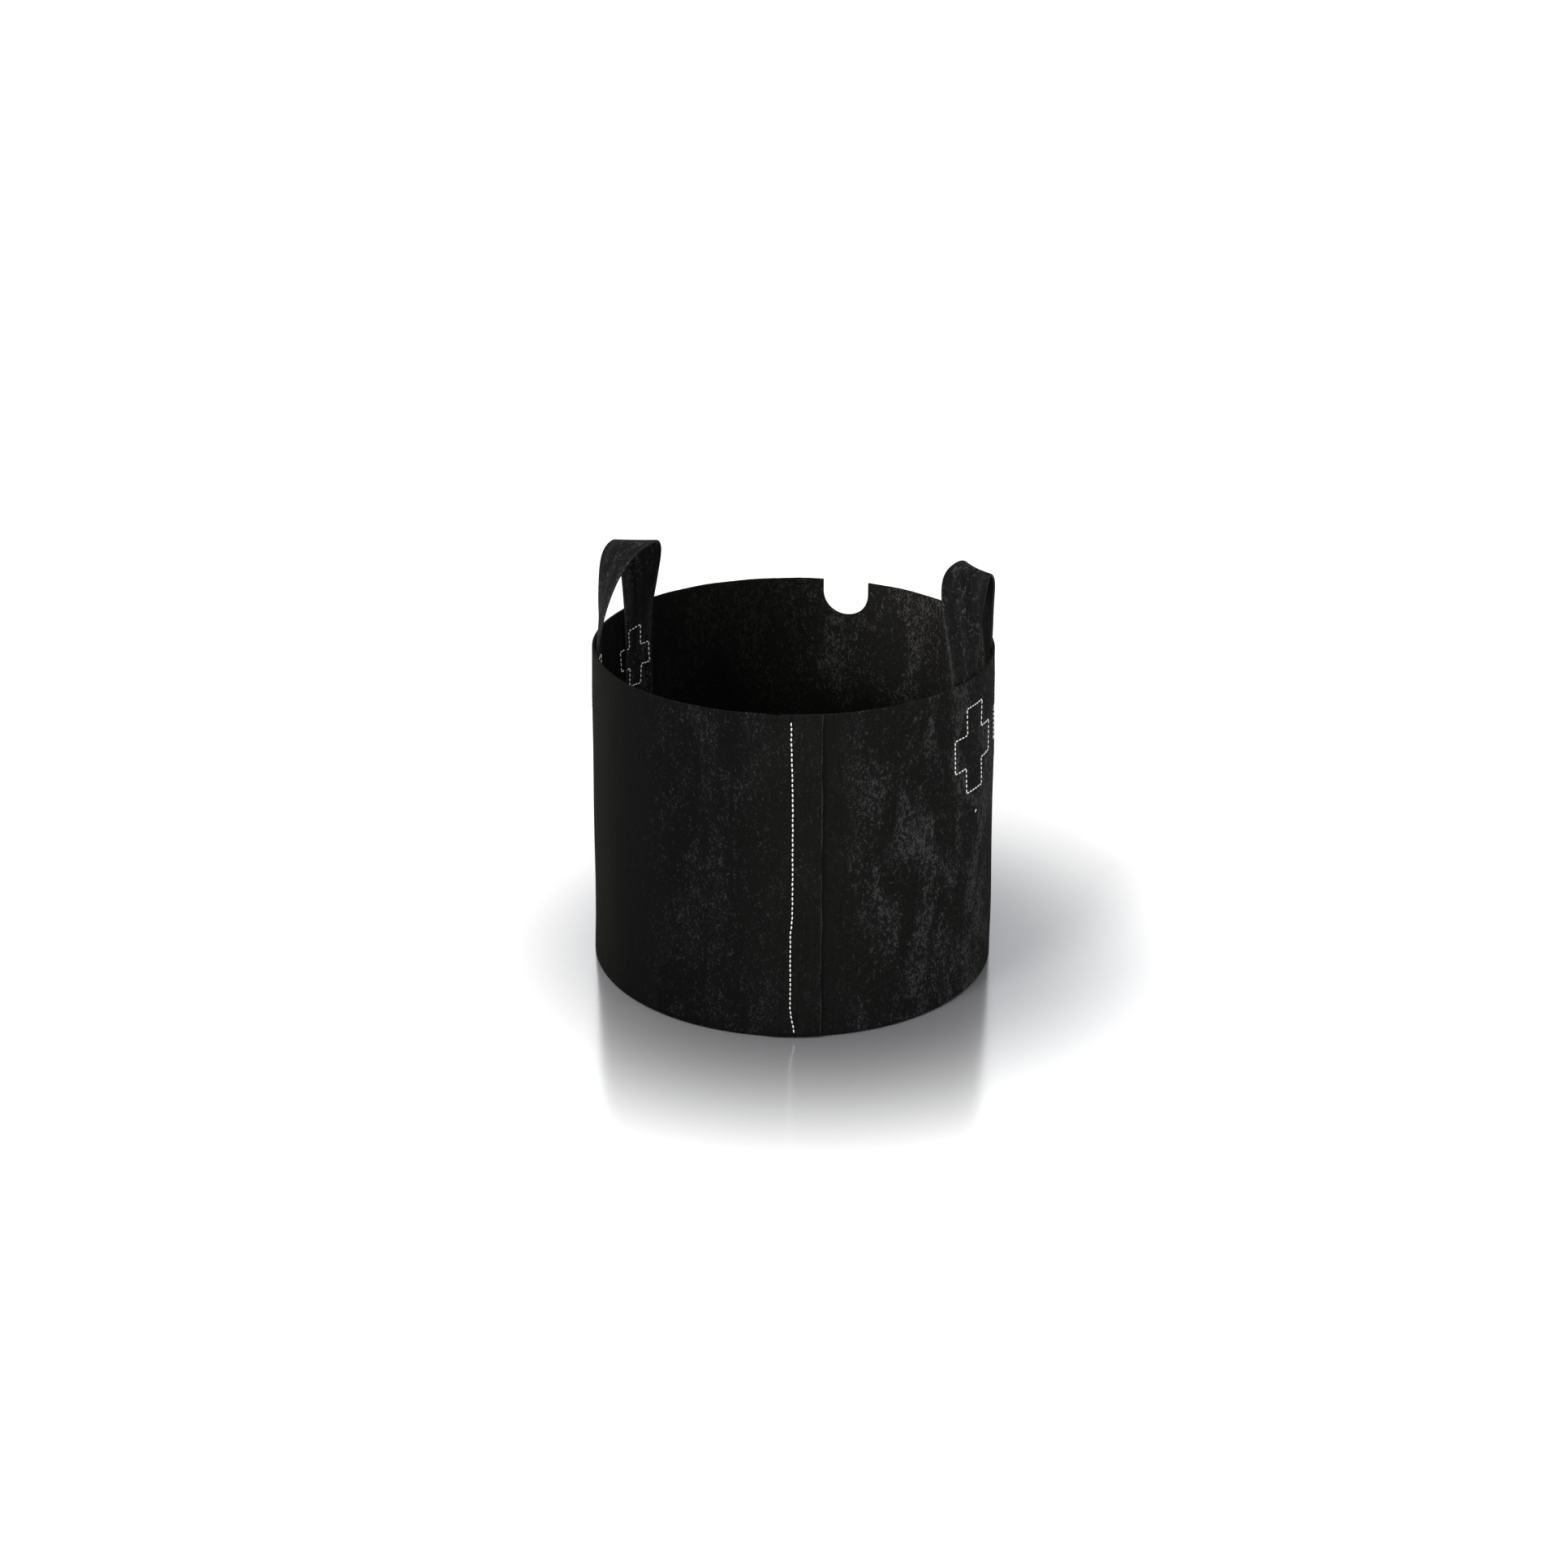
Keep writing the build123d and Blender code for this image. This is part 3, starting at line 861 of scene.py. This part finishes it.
def wall_inside_material(colours, sizes):
    finish = Finish("wall_felt_inside")
    flat, around, up = flat_place(finish)
    turn = finish.maths("DIVIDE", around, FULL_TURN * sizes.rim_radius)
    # Painted light and shade: the inside felt and its fibres are lighter towards the upper right rear, as if
    # lit there by the key light, and darker lower down and towards the left front, as if shaded.
    stops = (
        (0.0, 0.15), (0.14, 0.35), (0.22, 0.80), (0.30, 1.0), (0.41, 1.0), (0.46, 0.65), (0.50, 0.20),
        (0.54, 0.05), (0.70, 0.0), (0.90, 0.0), (1.0, 0.1),
    )
    wear_and_painted_light = finish.maths("MULTIPLY", finish.ramp(turn, stops), finish.soft_range(up, 0.150, 0.205, 0.12, 1.0))
    mask, flecks, fine, _ = fibre_layer(finish, flat, 0.8, 3.7)
    body = finish.mixed(wear_and_painted_light, tuple(colours.lining), (0.0130, 0.0127, 0.0117))
    fibre = finish.mixed(wear_and_painted_light, tuple(2.6 * part for part in colours.lining), tuple(colours.lining_fibre))
    colour = finish.mixed(mask, body, fibre)
    finish.bump(felt_relief(finish, flecks, fine), 0.0006, 0.8)
    finish.surface(colour, 1.0, 0.0, 0.03)


def base_material(colours):
    finish = Finish("base_cloth")
    flat, _, _ = flat_place(finish)
    mask, flecks, fine, gathered = fibre_layer(finish, flat, 0.55, 8.1)
    hazy = finish.maths("MULTIPLY", gathered, 0.4)
    haze = finish.mixed(hazy, tuple(colours.lining), (0.0100, 0.0098, 0.0090))
    colour = finish.mixed(mask, haze, tuple(colours.lining_fibre))
    finish.bump(felt_relief(finish, flecks, fine), 0.0006, 0.8)
    finish.surface(colour, 1.0, 0.0, 0.03)


def strap_material(colours):
    finish = Finish("strap_felt")
    flat, across, _ = flat_place(finish)
    grain = finish.noise(finish.stretched(flat, (1.0, 0.045, 1.0)), 640.0, 3.0, 0.6, 0.15)
    streaks = finish.noise(finish.stretched(flat, (1.0, 0.10, 1.0)), 120.0, 3.0, 0.55, 0.3)
    flecks = finish.noise(finish.stretched(flat, (1.0, 0.5, 1.0)), 480.0, 3.0, 0.6, 1.2)
    patches = finish.noise(finish.stretched(flat, (1.0, 0.5, 1.0)), 38.0, 3.0, 0.55, 0.4)
    wear_and_painted_light = finish.soft_range(patches, 0.40, 0.62, 0.15, 1.0)
    streak_mask = finish.soft_range(streaks, 0.42, 0.75)
    streaked = finish.mixed(streak_mask, tuple(colours.strap), (0.013, 0.013, 0.0133))
    grained = finish.mixed(finish.soft_range(grain, 0.45, 0.8, 0.0, 0.5), streaked, (0.006, 0.006, 0.0064))
    fleck_mask = finish.maths("MULTIPLY", finish.soft_range(flecks, 0.53, 0.68), wear_and_painted_light)
    # Painted highlight: both long edges of the strap are lightened with the fibre colour, as if they caught
    # the light.
    edge = finish.soft_range(finish.maths("ABSOLUTE", across), 0.0155, 0.0172)
    painted_edge_highlight = finish.maths("MULTIPLY", edge, 0.35)
    colour = finish.mixed(fleck_mask, grained, tuple(colours.strap_fibre))
    edged = finish.mixed(painted_edge_highlight, colour, tuple(colours.strap_fibre))
    relief = finish.maths("ADD", finish.maths("MULTIPLY", grain, 0.6), finish.maths("MULTIPLY", flecks, 0.4))
    finish.bump(relief, 0.0004, 0.7)
    finish.surface(edged, 0.9, 0.0, 0.05)


def thread_material(name, thread_colour):
    finish = Finish(name)
    place = finish.node("ShaderNodeTexCoord").outputs["Object"]
    plies = finish.noise(place, 2600.0, 2.0, 0.6, 0.5)
    shade = finish.noise(place, 190.0, 2.0, 0.5)
    deep = tuple(0.55 * part for part in thread_colour)
    colour = finish.mixed(finish.soft_range(plies, 0.3, 0.7), deep, tuple(thread_colour))
    toned = finish.mixed(finish.soft_range(shade, 0.5, 0.8, 0.0, 0.45), colour, (0.42, 0.42, 0.41))
    finish.bump(plies, 0.0002, 0.6)
    finish.surface(toned, 0.62, 0.20, 0.30)


# -----------------------------------------------------------------------------
# Operators
# -----------------------------------------------------------------------------
def place_on_body(piece, body, slot_name, *nodes):
    """The piece rides on a body and stands for its nodes, which it hides; its slot name is not used."""
    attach(piece, body)
    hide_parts(*nodes)


class GROWBAG_OT_materials(bpy.types.Operator):
    """Make the felt, strap and thread finishes"""

    bl_idname = "growbag.materials"
    bl_label = "Finishes"

    def execute(self, context):
        colours, sizes = context.scene.grow_bag_finish, context.scene.grow_bag_sizes
        wall_outside_material(colours, sizes)
        wall_inside_material(colours, sizes)
        base_material(colours)
        strap_material(colours)
        thread_material("needle_thread", tuple(colours.needle_thread))
        thread_material("underside_thread", tuple(colours.bobbin_thread))
        return {"FINISHED"}


class GROWBAG_OT_wall(bpy.types.Operator):
    """Roll, lap and turn the felt of the wall"""

    bl_idname = "growbag.wall"
    bl_label = "Wall"

    def execute(self, context):
        piece, flat = build_wall(context.scene.grow_bag_sizes)
        place_on_body(piece, "bag", "wall_felt", "wall_panel")
        return {"FINISHED"}


class GROWBAG_OT_base(bpy.types.Operator):
    """Lay the felt disc of the base and turn up its edge"""

    bl_idname = "growbag.base"
    bl_label = "Base"

    def execute(self, context):
        sizes = context.scene.grow_bag_sizes
        piece, rim = build_base(sizes)
        place_on_body(piece, "bag", "base_felt", "base_panel")
        return {"FINISHED"}


class GROWBAG_OT_straps(bpy.types.Operator):
    """Bend both handle straps"""

    bl_idname = "growbag.straps"
    bl_label = "Handle straps"

    def execute(self, context):
        sizes = context.scene.grow_bag_sizes
        for side in HANDLES:
            piece, length = build_strap(sizes, side)
            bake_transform(piece)
            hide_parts(f"handle_{side}_loop", f"handle_{side}_front_end", f"handle_{side}_rear_end")
        return {"FINISHED"}


class GROWBAG_OT_side_seam(bpy.types.Operator):
    """Sew the side seam, outside and inside"""

    bl_idname = "growbag.side_seam"
    bl_label = "Side seam"

    def execute(self, context):
        sizes = context.scene.grow_bag_sizes
        dice = random.Random(sizes.thread_seed)
        start, end = SIDE_SEAM_ROUTE[0][0], SIDE_SEAM_ROUTE[-1][0]
        count = round((end - start) / sizes.stitch_pitch)
        heights = [start + (end - start) * i / count for i in range(count + 1)]
        route = [Vector((side_seam_arc(height), height)) for height in heights]
        outside = wall_surface(sizes, 0.0, FULL_TURN)
        piece = sew(sizes, "side_seam_needle_stitches", route, outside, "needle_thread", dice)
        place_on_body(piece, "bag", "seam_thread", "side_seam_needle_thread")
        inside_route = [corner for corner in route if corner.y > sizes.allowance_height + sizes.stitch_pitch]
        inside = wall_surface(sizes, -sizes.felt_thickness)
        piece = sew(sizes, "side_seam_bobbin_stitches", inside_route, inside, "underside_thread", dice)
        place_on_body(piece, "bag", "bobbin_thread", "side_seam_bobbin_thread")
        return {"FINISHED"}


class GROWBAG_OT_base_seam(bpy.types.Operator):
    """Sew the base to the wall"""

    bl_idname = "growbag.base_seam"
    bl_label = "Base seam"

    def execute(self, context):
        sizes = context.scene.grow_bag_sizes
        dice = random.Random(sizes.thread_seed + 1)
        edge = base_edge_offset(sizes)
        faces = {
            "needle": (-edge - sizes.felt_thickness, -1),
            "bobbin": (-sizes.felt_thickness - sizes.layer_gap / 2, 1),
        }
        for thread, (offset, facing) in faces.items():
            radius = sizes.base_radius + offset

            def ring(place, radius=radius, facing=facing):
                azimuth = place.x / radius
                turned = azimuth % FULL_TURN
                lap = max(lap_step(sizes, turned), lap_step(sizes, turned + FULL_TURN)) if facing < 0 else 0.0
                signed = (azimuth + pi) % FULL_TURN - pi
                lap *= 1 - smooth_step(0.024, 0.032, signed * sizes.rim_radius)
                point = out_direction(azimuth) * (radius - lap)
                point.z = place.y
                return point, out_direction(azimuth) * facing

            arcs = spaced(0.0, FULL_TURN * radius, sizes.stitch_pitch)
            route = [Vector((arc, sizes.base_seam_height)) for arc in arcs]
            name = f"base_seam_{thread}_stitches"
            piece = sew(sizes, name, route, ring, "underside_thread", dice)
            place_on_body(piece, "bag", "bobbin_thread", f"base_seam_{thread}_thread")
        return {"FINISHED"}


class GROWBAG_OT_crosses(bpy.types.Operator):
    """Sew the cross at each of the four strap ends"""

    bl_idname = "growbag.crosses"
    bl_label = "Cross stitching"

    def execute(self, context):
        sizes = context.scene.grow_bag_sizes
        dice = random.Random(sizes.thread_seed + 2)
        for side, handle in HANDLES.items():
            for end in ("front", "rear"):
                route = cross_route(sizes, handle, end, dice)
                label = f"cross_{side}_{end}"
                outside = wall_surface(sizes, 0.0)
                piece = sew(sizes, f"{label}_needle_stitches", route, outside, "needle_thread", dice)
                place_on_body(piece, "bag", "cross_thread", f"{label}_needle_thread")
                inside = leg_surface(sizes, handle, end)
                piece = sew(sizes, f"{label}_bobbin_stitches", route, inside, "underside_thread", dice)
                place_on_body(piece, "bag", "bobbin_thread", f"{label}_bobbin_thread")
        return {"FINISHED"}


class GROWBAG_OT_tack(bpy.types.Operator):
    """Sew the loose tack stitch at one strap's tail"""

    bl_idname = "growbag.tack"
    bl_label = "Tack stitch"

    def execute(self, context):
        sizes = context.scene.grow_bag_sizes
        low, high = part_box("strap_tail_tack_thread")
        middle = (low + high) / 2
        arc = atan2(middle.x, -middle.y) * sizes.rim_radius
        slant = Vector((0.0011, 0.0010))
        centre = Vector((arc, middle.z))
        dice = random.Random(sizes.thread_seed + 3)
        surface = wall_surface(sizes, 0.0)
        route = [centre - slant, centre + slant]
        piece = sew(sizes, "strap_tail_tack_stitch", route, surface, "needle_thread", dice, share=0.95)
        place_on_body(piece, "bag", "cross_thread", "strap_tail_tack_thread")
        return {"FINISHED"}


CAMERA_LENS = 55.06
CAMERA_PLACE = (-0.00696, -1.7106, 0.8727)
CAMERA_TILT = radians(66.71)  # up from straight down
CAMERA_ROLL = 0.0032


def studio_light(name, place, aim, size, power):
    data = bpy.data.lights.new(name, "AREA")
    data.shape = "DISK"
    data.size = size
    data.energy = power
    light = bpy.data.objects.new(name, data)
    light.location = place
    light.rotation_euler = (Vector(aim) - Vector(place)).to_track_quat("-Z", "Y").to_euler()
    bpy.context.scene.collection.objects.link(light)
    light.visible_glossy = False
    return light


def studio_floor():
    """White floor, polished close to the bag and matt further out; a painted shadow makes its colour and its
    reflection a little grey close to the bag.
    """
    plane = bmesh.new()
    bmesh.ops.create_circle(plane, cap_ends=True, segments=96, radius=9.0)
    bmesh.ops.translate(plane, verts=plane.verts, vec=(0.0, 0.0, -0.0003))
    finish = Finish("studio_floor")
    place = finish.node("ShaderNodeTexCoord").outputs["Object"]
    distance = finish.node("ShaderNodeVectorMath", operation="LENGTH")
    finish.feed(distance.inputs[0], place)
    polish = finish.soft_range(distance.outputs["Value"], 0.15, 0.45, 0.80, 0.0)
    shifted = finish.node("ShaderNodeVectorMath", operation="SUBTRACT")
    finish.feed(shifted.inputs[0], place)
    shifted.inputs[1].default_value = (0.05, 0.0, 0.0)
    from_shade = finish.node("ShaderNodeVectorMath", operation="LENGTH")
    finish.feed(from_shade.inputs[0], shifted.outputs[0])
    # Painted shadow: a grey disc around the bag, centred 5 cm to its right, darkens the floor's own colour and
    # the colour of its reflection.
    painted_shadow = finish.soft_range(from_shade.outputs["Value"], 0.10, 0.34, 1.0, 0.0)
    shadowed_floor_colour = finish.mixed(painted_shadow, (0.95, 0.95, 0.95), (0.56, 0.565, 0.585))
    shadowed_gloss_colour = finish.mixed(painted_shadow, (0.95, 0.95, 0.95), (0.34, 0.345, 0.36))
    finish.surface(shadowed_floor_colour, 0.9, 0.0, 0.0)
    gloss = finish.node("ShaderNodeBsdfAnisotropic", distribution="GGX")
    finish.feed(gloss.inputs["Color"], shadowed_gloss_colour)
    gloss.inputs["Roughness"].default_value = 0.16
    layered = finish.node("ShaderNodeMixShader")
    finish.feed(layered.inputs[0], polish)
    finish.links.new(finish.shader.outputs[0], layered.inputs[1])
    finish.links.new(gloss.outputs[0], layered.inputs[2])
    finish.links.new(layered.outputs[0], finish.nodes["Material Output"].inputs["Surface"])
    return new_object("studio_floor", plane, ("studio_floor",))


class GROWBAG_OT_stage(bpy.types.Operator):
    """Set up the plain studio: floor, light and camera"""

    bl_idname = "growbag.stage"
    bl_label = "Studio"

    def execute(self, context):
        scene = context.scene
        scene.view_settings.view_transform = "Standard"
        studio_floor()
        world = bpy.data.worlds.new("studio")
        world.use_nodes = True
        background = world.node_tree.nodes["Background"]
        background.inputs["Color"].default_value = (1.0, 1.0, 1.0, 1.0)
        background.inputs["Strength"].default_value = 1.12
        scene.world = world
        studio_light("key_light", (-0.8, -1.0, 1.9), (0.08, 0.10, 0.20), 0.5, 30.0)
        studio_light("right_light", (2.0, -1.6, 1.0), (0.0, 0.0, 0.14), 1.2, 14.0)
        camera_data = bpy.data.cameras.new("camera")
        camera_data.lens = CAMERA_LENS
        camera_data.sensor_width = 36.0
        camera = bpy.data.objects.new("camera", camera_data)
        scene.collection.objects.link(camera)
        aim = Matrix.Rotation(CAMERA_TILT, 4, "X") @ Matrix.Rotation(CAMERA_ROLL, 4, "Z")
        camera.matrix_world = Matrix.Translation(CAMERA_PLACE) @ aim
        scene.camera = camera
        return {"FINISHED"}


class GROWBAG_PT_panel(bpy.types.Panel):
    """Sizes, colours and building steps of the grow bag"""

    bl_label = "Grow Bag"
    bl_idname = "GROWBAG_PT_panel"
    bl_space_type = "VIEW_3D"
    bl_region_type = "UI"
    bl_category = "Grow Bag"

    def draw(self, context):
        for group in (context.scene.grow_bag_sizes, context.scene.grow_bag_finish):
            for name in group.__annotations__:
                self.layout.prop(group, name)
        for step in BUILD_STEPS:
            self.layout.operator(step.bl_idname)


BUILD_STEPS = (
    GROWBAG_OT_materials,
    GROWBAG_OT_stage,
    GROWBAG_OT_wall,
    GROWBAG_OT_base,
    GROWBAG_OT_straps,
    GROWBAG_OT_side_seam,
    GROWBAG_OT_base_seam,
    GROWBAG_OT_crosses,
    GROWBAG_OT_tack,
)
CLASSES = (GrowBagSizes, GrowBagFinish, *BUILD_STEPS, GROWBAG_PT_panel)


def register():
    for item in CLASSES:
        bpy.utils.register_class(item)
    bpy.types.Scene.grow_bag_sizes = PointerProperty(type=GrowBagSizes)
    bpy.types.Scene.grow_bag_finish = PointerProperty(type=GrowBagFinish)


def unregister():
    del bpy.types.Scene.grow_bag_finish
    del bpy.types.Scene.grow_bag_sizes
    for item in reversed(CLASSES):
        bpy.utils.unregister_class(item)


def main():
    register()
    bpy.ops.growbag.materials()
    bpy.ops.growbag.stage()
    bpy.ops.growbag.wall()
    bpy.ops.growbag.base()
    bpy.ops.growbag.straps()
    bpy.ops.growbag.side_seam()
    bpy.ops.growbag.base_seam()
    bpy.ops.growbag.crosses()
    bpy.ops.growbag.tack()
    bpy.context.view_layer.update()


if __name__ == "__main__":
    main()
